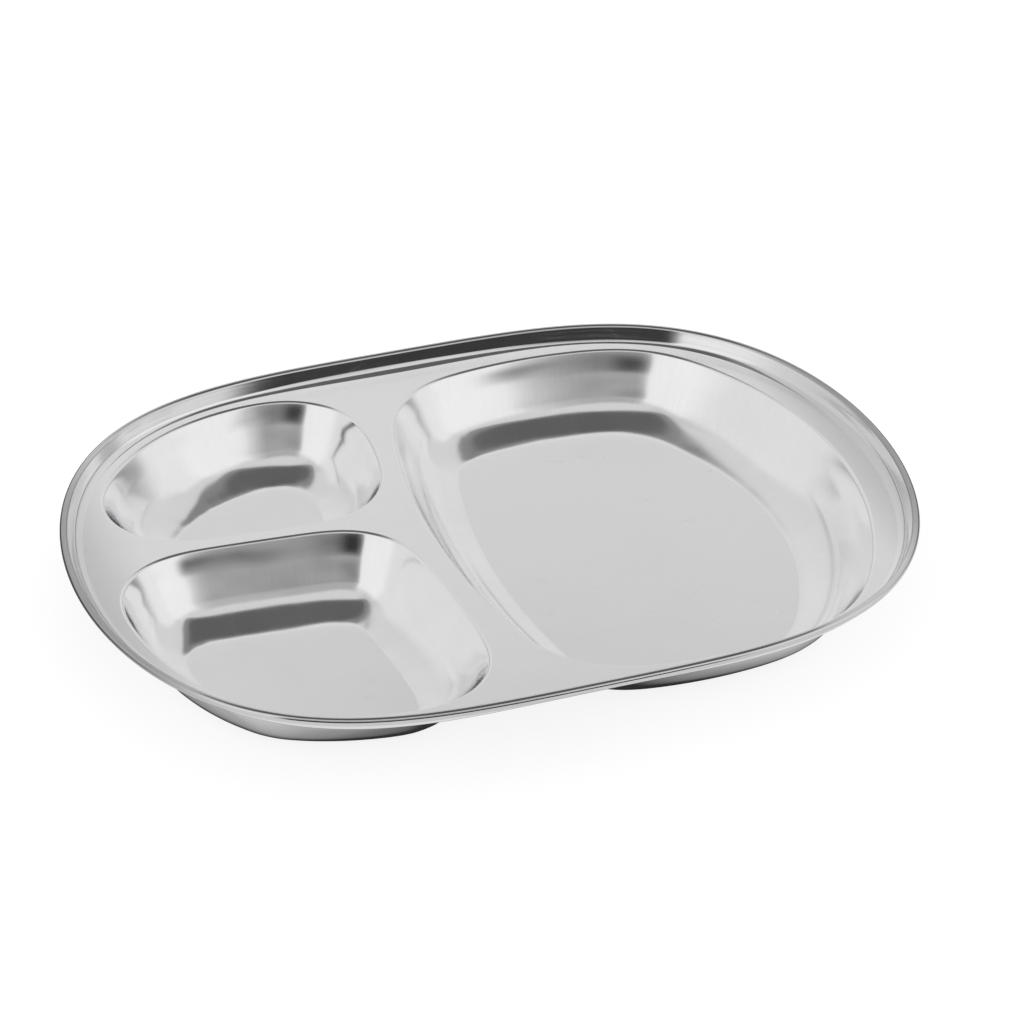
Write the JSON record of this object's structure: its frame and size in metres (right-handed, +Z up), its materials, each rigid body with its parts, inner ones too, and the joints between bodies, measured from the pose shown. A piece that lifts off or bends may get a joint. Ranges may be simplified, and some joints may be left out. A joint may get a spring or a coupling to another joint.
{
  "type": "divided plate",
  "caption": "Shallow oval-ended steel plate divided into a large well and smaller wells by flat ridges, with a low rim and a rolled edge.",
  "frame": {"origin": "centre of the plate's outline, on the plane that the undersides of the wells rest on", "axes": "+X along the length towards the large well, +Y along the width towards the half-round small well, +Z up out of the wells"},
  "size_m": [0.28, 0.216, 0.0275],
  "materials": {
    "well_floor": "smooth pressed stainless steel with a soft satin gloss",
    "well_wall": "polished stainless steel, drawn, with faint draw lines",
    "deck": "smooth stainless steel with a soft satin gloss",
    "rim": "polished stainless steel, turned up",
    "rolled_edge": "polished stainless steel, rolled"
  },
  "bodies": {
    "root": {"large_well_floor": "well_floor", "large_well_wall": "well_wall", "front_well_floor": "well_floor", "front_well_wall": "well_wall", "rear_well_floor": "well_floor", "rear_well_wall": "well_wall", "deck": "deck", "rim_wall": "rim", "rolled_rim": "rolled_edge"}
  },
  "joints": []
}
